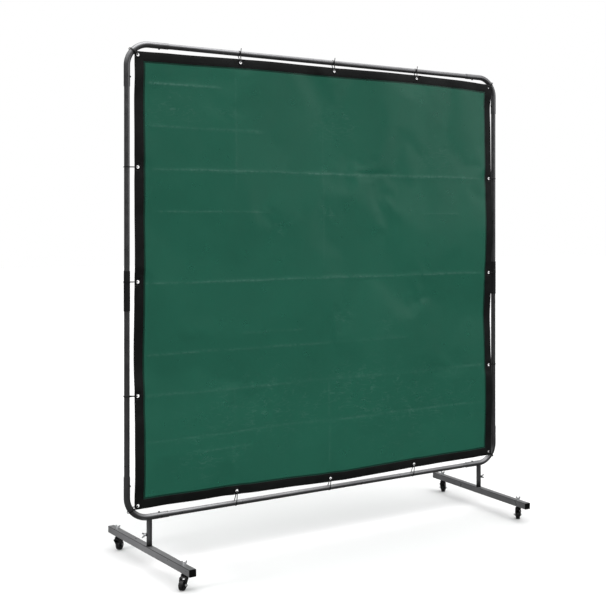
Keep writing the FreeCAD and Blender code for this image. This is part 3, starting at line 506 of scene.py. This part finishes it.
def nut_black():
    """Black oxide steel."""
    finish = Finish("nut_black", (0.022, 0.022, 0.023), Metallic=0.6, Roughness=0.42)
    finish.paint(finish.mix(finish.edges(0.0009), (0.020, 0.020, 0.021), (0.11, 0.11, 0.11)))
    finish.rough(finish.noise(0.003, 4), 0.34, 0.52)
    finish.bump(finish.noise(0.0012, 4), 0.00006, soften=0.0005)
    return finish.material


def cap_plastic():
    """Black polyethylene end caps."""
    finish = Finish("cap_plastic", (0.004, 0.004, 0.004), Roughness=0.5, Specular_IOR_Level=0.2)
    finish.paint(finish.mix(finish.noise(0.01, 4), (0.003, 0.003, 0.003), (0.007, 0.007, 0.007)))
    finish.rough(finish.noise(0.005, 4), 0.42, 0.6)
    finish.bump(finish.noise(0.0009, 3), 0.0001, soften=0.0012)
    return finish.material


def caster_black():
    """Glossy black lacquer on pressed steel."""
    finish = Finish("caster_black", (0.008, 0.008, 0.009), Roughness=0.24, Coat_Weight=0.5,
                    Coat_Roughness=0.12)
    finish.paint(finish.mix(finish.edges(0.0008), (0.007, 0.007, 0.008), (0.05, 0.05, 0.052)))
    finish.rough(finish.noise(0.006, 4), 0.18, 0.32)
    finish.bump(finish.noise(0.004, 3), 0.00008, soften=0.0008)
    return finish.material


def wheel_black():
    """Moulded wheel: satin core and a slightly dusty tread."""
    finish = Finish("wheel_black", (0.010, 0.010, 0.010), Roughness=0.3)
    dusty = finish.range(finish.noise(0.006, 5), 0.45, 0.8)
    finish.paint(finish.mix(dusty, (0.008, 0.008, 0.009), (0.035, 0.034, 0.032)))
    finish.rough(finish.noise(0.004, 4), 0.22, 0.4)
    finish.bump(finish.noise(0.0015, 4), 0.00006, soften=0.0006)
    return finish.material


FINISHES = {make.__name__: make() for make in (
    frame_paint, beam_paint, post_paint, sleeve_black, vinyl, hem, grommet_black, tie_nylon,
    bright_zinc, caster_stem, spring_steel, nut_black, cap_plastic, caster_black, wheel_black)}


# ---------------------------------------------------------------- mesh helpers

def make_piece(name, vertices, faces, slot, body):
    """A mesh piece with a finish, riding on a CAD body."""
    mesh = bpy.data.meshes.new(name)
    mesh.from_pydata([tuple(v) for v in vertices], [], faces)
    mesh.validate()
    mesh.polygons.foreach_set("use_smooth", [True] * len(mesh.polygons))
    mesh.materials.append(FINISHES[slot])
    piece = bpy.data.objects.new(name, mesh)
    bpy.context.collection.objects.link(piece)
    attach(piece, body)
    return piece


def smoothstep(x):
    """An eased step from 0 to 1."""
    x = np.clip(x, 0, 1)
    return x * x * (3 - 2 * x)


# ---------------------------------------------------------------- curtain

panel_low, panel_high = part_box("curtain_panel")
CURTAIN_PLANE = (panel_low.y + panel_high.y) / 2


def grommet_keys():
    """Column and row of the 16 grommets round the edge."""
    last = GROMMET_COLUMNS[-1]
    return [(c, r) for c in GROMMET_COLUMNS for r in GROMMET_COLUMNS if max(abs(c), abs(r)) == last]


def grommet_centres():
    """Where each CAD grommet sits, by its column and row."""
    points = np.array([v.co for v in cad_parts["grommets"].data.vertices])
    low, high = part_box("grommets")
    middle = (low.z + high.z) / 2
    centres = {}
    for column, row in grommet_keys():
        guess = np.array([column * GROMMET_PITCH, middle + row * GROMMET_PITCH])
        near = points[np.linalg.norm(points[:, [0, 2]] - guess, axis=1) < GROMMET_PITCH / 3]
        centres[column, row] = (near.min(0) + near.max(0)) / 2
    return centres


CENTRES = grommet_centres()
MIDDLE_HEIGHT = np.mean([centre[2] for centre in CENTRES.values()])


def edge_shift(values, along):
    """Shift along one edge, in straight runs between its five grommets."""
    knots = np.array(GROMMET_COLUMNS) * GROMMET_PITCH
    return np.stack([np.interp(along, knots, np.array(values)[:, k]) for k in range(2)], axis=-1)


def start_shape(s, t):
    """The flat sheet, pulled at its edges to where the grommets are: X and Z on a grid of s by t."""
    shift = {
        (c, r): (centre[0] - c * GROMMET_PITCH, centre[2] - MIDDLE_HEIGHT - r * GROMMET_PITCH)
        for (c, r), centre in CENTRES.items()}
    low, high = GROMMET_COLUMNS[0], GROMMET_COLUMNS[-1]
    bottom = edge_shift([shift[c, low] for c in GROMMET_COLUMNS], s)[:, None]
    top = edge_shift([shift[c, high] for c in GROMMET_COLUMNS], s)[:, None]
    left = edge_shift([shift[low, r] for r in GROMMET_COLUMNS], t)[None]
    right = edge_shift([shift[high, r] for r in GROMMET_COLUMNS], t)[None]
    reach = high * GROMMET_PITCH
    a = np.clip((s + reach) / (2 * reach), 0, 1)[:, None, None]
    b = np.clip((t + reach) / (2 * reach), 0, 1)[None, :, None]
    corners = sum(np.array(shift[c, r]) * wa * wb for c, wa in ((low, 1 - a), (high, a))
                  for r, wb in ((low, 1 - b), (high, b)))
    moved = (1 - a) * left + a * right + (1 - b) * bottom + b * top - corners
    return s[:, None] + moved[..., 0], MIDDLE_HEIGHT + t[None] + moved[..., 1]


def start_billow(s, t):
    """A slight unevenness out of the plane, from which the cloth buckles."""
    a, b = s[:, None], t[None]
    return 0.003 * (np.sin(5.1 * a + 2.3 * b + 0.6) * np.cos(3.7 * b - 1.1)
                    + 0.6 * np.sin(9.0 * a - 6.0 * b) + 0.5 * np.cos(11.0 * b + 2.0 * a))


def set_up_cloth(modifier):
    """A light, stiff film that is a little larger than its frame, held at its grommets."""
    settings = modifier.settings
    settings.quality = 8
    settings.mass = 0.001
    settings.tension_stiffness = 8000
    settings.compression_stiffness = 8000
    settings.shear_stiffness = 1500
    settings.bending_stiffness = 4
    settings.tension_damping = 20
    settings.compression_damping = 20
    settings.shear_damping = 10
    settings.air_damping = 4
    settings.shrink_min = -CLOTH_SLACK
    settings.vertex_group_mass = "held"
    settings.effector_weights.gravity = 0.35
    modifier.collision_settings.use_collision = False
    modifier.collision_settings.use_self_collision = False
    modifier.point_cache.frame_end = CLOTH_FRAMES


def hang_cloth():
    """Lets the sheet hang between its ties by cloth simulation: its points on a square grid."""
    lines = np.linspace(-FLAT_HALF, FLAT_HALF, CLOTH_CELLS + 1)
    x, z = start_shape(lines, lines)
    y = CURTAIN_PLANE + start_billow(lines, lines)
    held = np.zeros(x.shape, bool)
    for (column, row), centre in CENTRES.items():
        near = np.hypot(lines[:, None] - column * GROMMET_PITCH, lines[None] - row * GROMMET_PITCH)
        held |= near < GROMMET_HOLD
    y[held] = CURTAIN_PLANE
    grid = np.stack([x, y, z], axis=-1)
    count = CLOTH_CELLS + 1
    faces = [(i * count + j, (i + 1) * count + j, (i + 1) * count + j + 1, i * count + j + 1)
             for i in range(CLOTH_CELLS) for j in range(CLOTH_CELLS)]
    mesh = bpy.data.meshes.new("cloth")
    mesh.from_pydata([tuple(v) for v in grid.reshape(-1, 3)], [], faces)
    cloth = bpy.data.objects.new("cloth", mesh)
    bpy.context.collection.objects.link(cloth)
    pins = cloth.vertex_groups.new(name="held")
    pins.add([int(i) for i in np.flatnonzero(held.ravel())], 1.0, "REPLACE")
    set_up_cloth(cloth.modifiers.new("Cloth", "CLOTH"))
    for step in range(1, CLOTH_FRAMES + 1):
        bpy.context.scene.frame_set(step)
    hung = cloth.evaluated_get(bpy.context.evaluated_depsgraph_get())
    points = np.zeros(count * count * 3)
    hung.data.vertices.foreach_get("co", points)
    bpy.data.objects.remove(cloth)
    bpy.context.scene.frame_set(1)
    return points.reshape(count, count, 3)


def cubic_weights(lines):
    """A matrix that carries values from the cloth's even lines to others, by cubic interpolation."""
    weights = np.zeros((len(lines), CLOTH_CELLS + 1))
    place = (np.asarray(lines) + FLAT_HALF) / (2 * FLAT_HALF) * CLOTH_CELLS
    first = np.clip(np.floor(place).astype(int), 0, CLOTH_CELLS - 1)
    f = place - first
    parts = (-f + 2 * f**2 - f**3, 2 - 5 * f**2 + 3 * f**3, f + 4 * f**2 - 3 * f**3, f**3 - f**2)
    for offset, part in zip((-1, 0, 1, 2), parts):
        np.add.at(weights, (np.arange(len(lines)), np.clip(first + offset, 0, CLOTH_CELLS)), part / 2)
    return weights


def wander(x, seed):
    """A slow irregular wave between about -1 and 1."""
    slow, middling, quick = (
        np.sin(rate * x + turn * seed) for rate, turn in ((7.3, 1), (19.7, 2.1), (43.0, 3.7)))
    return (slow + 0.6 * middling + 0.4 * quick) / 2


def fold_relief(across, along, folds, seed, width=FOLD_WIDTH):
    """Creases left by packing: a sharp ridge with soft flanks, fading at its ends."""
    relief = np.zeros(np.broadcast(across, along).shape)
    for number, (place, start, end, depth) in enumerate(folds):
        phase = seed + 1.7 * number
        distance = across - place - FOLD_WANDER * wander(along, phase)
        fade = smoothstep((along - start) / 0.05) * smoothstep((end - along) / 0.05)
        uneven = 0.65 + 0.35 * wander(along * 1.6, phase + 4)
        relief += depth * uneven * fade * np.exp(-np.abs(distance) / width)
    return relief


def all_folds(x, z, width=FOLD_WIDTH):
    """The height of every packing fold at points of the curtain."""
    return fold_relief(z, x, LEVEL_FOLDS, 0.4, width) + fold_relief(x, z, UPRIGHT_FOLDS, 2.9, width)


def crinkle(x, z):
    """How strongly the film is streaked: in the patches where it was bunched up."""
    return sum(np.exp(-(((x - px) / spread) ** 2) - ((z - pz) / (0.6 * spread)) ** 2)
               for px, pz, spread in BUNCHED)


def dent_relief(x, z):
    """Small soft dents where the film was bunched up."""
    random = np.random.default_rng(7)
    relief = np.zeros(x.shape)
    for px, pz, spread in BUNCHED:
        for _ in range(int(DENTS_PER_METRE * spread) + 4):
            cx, cz = px + random.normal(0, spread / 2), pz + random.normal(0, spread / 3)
            turn = random.choice((-1, 1)) * random.uniform(0.5, 1.0)
            length, depth = random.uniform(0.03, 0.06), random.uniform(-0.0006, 0.0006)
            along = (x - cx) * math.cos(turn) + (z - cz) * math.sin(turn)
            across = -(x - cx) * math.sin(turn) + (z - cz) * math.cos(turn)
            relief += depth * np.exp(-((along / length) ** 2) - (across / 0.013) ** 2)
    return relief


def corner_swell(x, z):
    """The broad soft fold that runs down from the top edge towards the right-hand ties."""
    line = 0.79 - 0.24 * np.exp(-(1.97 - z) / 0.27)
    fade = smoothstep((z - 1.1) / 0.3)
    step = 1 / (1 + np.exp(-(x - line) / 0.028)) - 0.5
    return 0.0022 * fade * step * np.exp(-np.abs(x - line) / 0.25)


CLOTH = hang_cloth()


def drape(lines_s, lines_t):
    """The sheet's middle surface on a grid of lines: points and unit normals towards the back."""
    points = np.einsum("ia,abk,jb->ijk", cubic_weights(lines_s), CLOTH, cubic_weights(lines_t))
    s, t = np.meshgrid(lines_s, lines_t, indexing="ij")
    inner = smoothstep((FLAT_HALF - np.maximum(np.abs(s), np.abs(t)) - HEM_FRONT * 0.6) / 0.03)
    x, z = points[..., 0], points[..., 2]
    relief = all_folds(x, z) + dent_relief(x, z)
    points[..., 1] -= (inner * 0.85 + 0.15) * relief + inner * corner_swell(x, z)
    for (column, row), centre in CENTRES.items():
        corner = abs(column) == abs(row)
        ease = CORNER_EASE if corner else GROMMET_EASE
        away = np.hypot(s - column * GROMMET_PITCH, t - row * GROMMET_PITCH)
        hold = 1 - smoothstep((away - GROMMET_HOLD) / (ease - GROMMET_HOLD))
        rigid = np.stack([centre[0] + s - column * GROMMET_PITCH, np.full(s.shape, CURTAIN_PLANE),
                          centre[2] + t - row * GROMMET_PITCH], axis=-1)
        points += hold[..., None] * (rigid - points)
    normals = np.cross(np.gradient(points, lines_t, axis=1), np.gradient(points, lines_s, axis=0))
    return points, normals / np.linalg.norm(normals, axis=-1, keepdims=True)


def with_lines_between(fixed):
    """The given lines, and even ones between them about LINE_STEP apart."""
    lines = []
    for low, high in zip(fixed, fixed[1:]):
        parts = max(1, round((high - low) / LINE_STEP))
        lines += [low + (high - low) * k / parts for k in range(parts)]
    return np.array(lines + [fixed[-1]])


def hem_lines(borders):
    """Lines across the whole sheet, also at given distances from its edges and round its holes."""
    edges = {round(sign * (FLAT_HALF - d), 6) for d in borders for sign in (-1, 1)}
    holes = {round(c * GROMMET_PITCH + k * HOLE_RADIUS, 6) for c in GROMMET_COLUMNS for k in (-1, 0, 1)}
    return with_lines_between(sorted(edges | holes))


def panel_lines(reach, folds, offset):
    """Lines across the panel, packed more closely where folds run across."""
    dense = {round(place - offset + k, 6) for place, *_ in folds for k in FOLD_LINES}
    return with_lines_between(sorted({-reach, reach} | {k for k in dense if abs(k) < reach - 0.002}))


def round_the_holes(points, s, t):
    """Moves the points round each square hole on to a circle."""
    for (column, row), centre in CENTRES.items():
        ds, dt = s - column * GROMMET_PITCH, t - row * GROMMET_PITCH
        ring = (np.maximum(np.abs(ds), np.abs(dt)) < HOLE_RADIUS * 1.01) & (np.hypot(ds, dt) > 1e-6)
        scale = HOLE_RADIUS / np.hypot(ds, dt, where=ring, out=np.ones(s.shape))
        points[ring, 0] = centre[0] + (ds * scale)[ring]
        points[ring, 2] = centre[2] + (dt * scale)[ring]


def make_shell(name, lines_s, lines_t, reach, front, back, slot, holes=False):
    """A closed piece with a front and a back at given distances from the sheet's middle surface.

    It covers the sheet from the outermost lines to the distance reach from the edge. Front and
    back share their points where both distances are nothing.
    """
    points, normals = drape(lines_s, lines_t)
    s, t = np.meshgrid(lines_s, lines_t, indexing="ij")
    edge = FLAT_HALF - np.maximum(np.abs(s), np.abs(t))
    if holes:
        round_the_holes(points, s, t)
    sides = {}
    vertices = []
    for side, offset in (("front", -front(edge)), ("back", back(edge))):
        moved = points + normals * offset[..., None]
        index = np.full(edge.shape, -1)
        for i, j in np.argwhere(edge <= reach + 1e-6):
            if side == "back" and abs(front(edge[i, j]) + back(edge[i, j])) < 1e-9:
                index[i, j] = sides["front"][i, j]
                continue
            index[i, j] = len(vertices)
            vertices.append(moved[i, j])
        sides[side] = index

    def open_cell(i, j):
        middle_s = (lines_s[i] + lines_s[i + 1]) / 2
        middle_t = (lines_t[j] + lines_t[j + 1]) / 2
        return holes and any(
            max(abs(middle_s - c * GROMMET_PITCH), abs(middle_t - r * GROMMET_PITCH)) < HOLE_RADIUS
            for c, r in CENTRES)

    faces = []
    rim = {}
    for i in range(len(lines_s) - 1):
        for j in range(len(lines_t) - 1):
            corners = ((i, j), (i + 1, j), (i + 1, j + 1), (i, j + 1))
            if min(sides["front"][c] for c in corners) < 0:
                continue
            if open_cell(i, j):
                continue
            faces.append(tuple(int(sides["front"][c]) for c in corners))
            faces.append(tuple(int(sides["back"][c]) for c in reversed(corners)))
            for a, b in zip(corners, corners[1:] + corners[:1]):
                rim[a, b] = not rim.pop((b, a), False)
    for (a, b), single in rim.items():
        ends = (sides["front"][b], sides["front"][a], sides["back"][a], sides["back"][b])
        if single and len(set(int(e) for e in ends)) == 4 and (b, a) not in rim:
            faces.append(tuple(int(e) for e in ends))
    return make_piece(name, vertices, faces, slot, "frame")


def hem_thickness(inner_edge):
    """How far one layer of the hem stands off the middle surface: rounded fold, two seams, a step."""
    def height(edge):
        edge = np.asarray(edge, float)
        fold = np.sqrt(np.clip(1 - (1 - np.clip(edge / HEM_FOLD_RADIUS, 0, 1)) ** 2, 0, 1))
        seams = sum(np.exp(-(((edge - place) / SEAM_WIDTH) ** 2))
                    for place in (SEAM_INSET, inner_edge - SEAM_INSET))
        thick = HEM_HALF_THICKNESS * fold - SEAM_DEPTH * seams
        thinner_inside = np.where(edge > inner_edge - 0.002, thick * 0.9, thick)
        return np.where(edge > inner_edge - 0.0002, 0, thinner_inside)
    return height


def make_curtain():
    seam = (SEAM_INSET - SEAM_WIDTH, SEAM_INSET, SEAM_INSET + SEAM_WIDTH)
    borders = (0, 0.0004, HEM_FOLD_RADIUS, *seam, 0.026, *(HEM_FRONT - k for k in seam),
               HEM_FRONT - 0.0005, HEM_FRONT, HEM_BACK - 0.0005, HEM_BACK)
    lines = hem_lines(borders)
    hem_piece = make_shell("curtain_hem_band", lines, lines, HEM_BACK, hem_thickness(HEM_FRONT),
                           hem_thickness(HEM_BACK), "hem", holes=True)
    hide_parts("curtain_hem")
    reach = FLAT_HALF - PANEL_INSET
    across = panel_lines(reach, UPRIGHT_FOLDS, 0)
    up = panel_lines(reach, LEVEL_FOLDS, MIDDLE_HEIGHT)

    def film(edge):
        return np.where(np.asarray(edge) < PANEL_INSET + 1e-5, 0, VINYL_HALF_THICKNESS)

    panel = make_shell("curtain_vinyl", across, up, FLAT_HALF, film, film, "vinyl")
    points = np.array([v.co for v in panel.data.vertices])
    creases = np.abs(all_folds(points[:, 0], points[:, 2], CREASE_WIDTH)) / PALEST_CREASE
    for name, values in (("crinkle", crinkle(points[:, 0], points[:, 2])), ("crease", creases)):
        layer = panel.data.attributes.new(name, "FLOAT", "POINT")
        layer.data.foreach_set("value", np.clip(values, 0, 1).astype(np.float32))
    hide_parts("curtain_panel")
    make_grommets()


# ---------------------------------------------------------------- grommets and welds

def turned_ring(profile, centre, segments):
    """A closed ring turned about an axis along Y: profile gives radius and Y from the centre."""
    vertices, faces = [], []
    count = len(profile)
    for k in range(segments):
        turn = 2 * math.pi * k / segments
        for radius, y in profile:
            x, z = radius * math.cos(turn), radius * math.sin(turn)
            vertices.append((centre[0] + x, centre[1] + y, centre[2] + z))
        for i in range(count):
            after, along = (k + 1) % segments, (i + 1) % count
            faces.append((k * count + i, after * count + i, after * count + along, k * count + along))
    return vertices, faces


def grommet_profile(depth):
    """Half a grommet's section and its mirror: a rolled barrel that flares into a domed flange."""
    half = [(GROMMET_BORE, 0.0)]
    for k in range(7):
        turn = math.pi * k / 12
        radius = GROMMET_BORE + BARREL_ROLL * (1 - math.cos(turn))
        half.append((radius, -depth + BARREL_ROLL * (1 - math.sin(turn))))
    half += [
        (0.0092, -depth + 0.00008),
        (0.0108, -depth + 0.0003),
        (GROMMET_FLANGE - 0.0005, -depth + 0.00055),
        (GROMMET_FLANGE, -HEM_HALF_THICKNESS - 0.00012),
        (GROMMET_FLANGE - 0.0003, -HEM_HALF_THICKNESS + 0.0001),
    ]
    mirrored = [(radius, -y) for radius, y in reversed(half[1:])]
    return half + mirrored


def make_grommets():
    """The 16 rings, at the places of the CAD ones."""
    low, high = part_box("grommets")
    profile = grommet_profile((high.y - low.y) / 2)
    vertices, faces = [], []
    for centre in CENTRES.values():
        ring, quads = turned_ring(profile, (centre[0], CURTAIN_PLANE, centre[2]), GROMMET_SEGMENTS)
        faces += [tuple(i + len(vertices) for i in quad) for quad in quads]
        vertices += ring
    rings = make_piece("grommet_rings", vertices, faces, "grommet_black", "frame")
    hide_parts("grommets")
    return rings


def make_weld(name, centre, radius, size, body, beads=30):
    """A weld bead round a post: overlapping scales, low and a little uneven."""
    vertices, faces = [], []
    around, across = beads * 6, 10
    for k in range(around):
        turn = 2 * math.pi * k / around
        scale = 1 - 0.22 * (k / 6 % 1) ** 2 + 0.07 * wander(turn * 0.9, 1.3)
        for i in range(across):
            angle = 2 * math.pi * i / across
            out = radius + size * scale * (0.25 + math.cos(angle))
            up = size * scale * 0.8 * math.sin(angle)
            x, y = out * math.cos(turn), out * math.sin(turn)
            vertices.append((centre[0] + x, centre[1] + y, centre[2] + up))
            a, b = (k + 1) % around, (i + 1) % across
            faces.append((k * across + i, a * across + i, a * across + b, k * across + b))
    # The bead is finished black: the weld's own dark colour, and painted shade at the foot of the post.
    return make_piece(name, vertices, faces, "nut_black", body)


def make_welds():
    for side in ("left", "right"):
        low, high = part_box(f"foot_post_{side}")
        middle = (low + high) / 2
        radius = (high.x - low.x) / 2
        foot = (middle.x, middle.y, low.z)
        make_weld(f"post_weld_{side}", foot, radius, WELD_SIZE, f"foot_{side}")


# ---------------------------------------------------------------- CAD pieces that keep their shape

NODE_FINISHES = {
    "elbow": "frame_paint", "bottom_rail": "frame_paint", "top_rail": "frame_paint",
    "upright": "frame_paint", "sleeve": "sleeve_black", "rail_joiners": "spring_steel",
    "button": "nut_black", "spring_clips": "spring_steel", "grommets": "grommet_black",
    "cable_ties": "tie_nylon", "foot_spigots": "frame_paint", "foot_post": "post_paint",
    "foot_beam": "beam_paint", "foot_caps": "cap_plastic", "weld_nut": "nut_black",
    "wing_bolt": "bright_zinc", "wing_nut": "bright_zinc", "caster_stem": "caster_stem",
    "caster_fork": "caster_black", "caster_wheel": "wheel_black", "caster_axle": "bright_zinc",
    "curtain_panel": "vinyl", "curtain_hem": "hem",
}


def finish_cad_nodes():
    for name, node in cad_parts.items():
        finish = next(finish for start, finish in NODE_FINISHES.items() if name.startswith(start))
        node.data.materials.clear()
        node.data.materials.append(FINISHES[finish])


# ---------------------------------------------------------------- the scene

make_camera()
make_world()
make_lamps()
make_floor()
bpy.context.scene.view_settings.view_transform = "Standard"
finish_cad_nodes()
make_curtain()
make_welds()
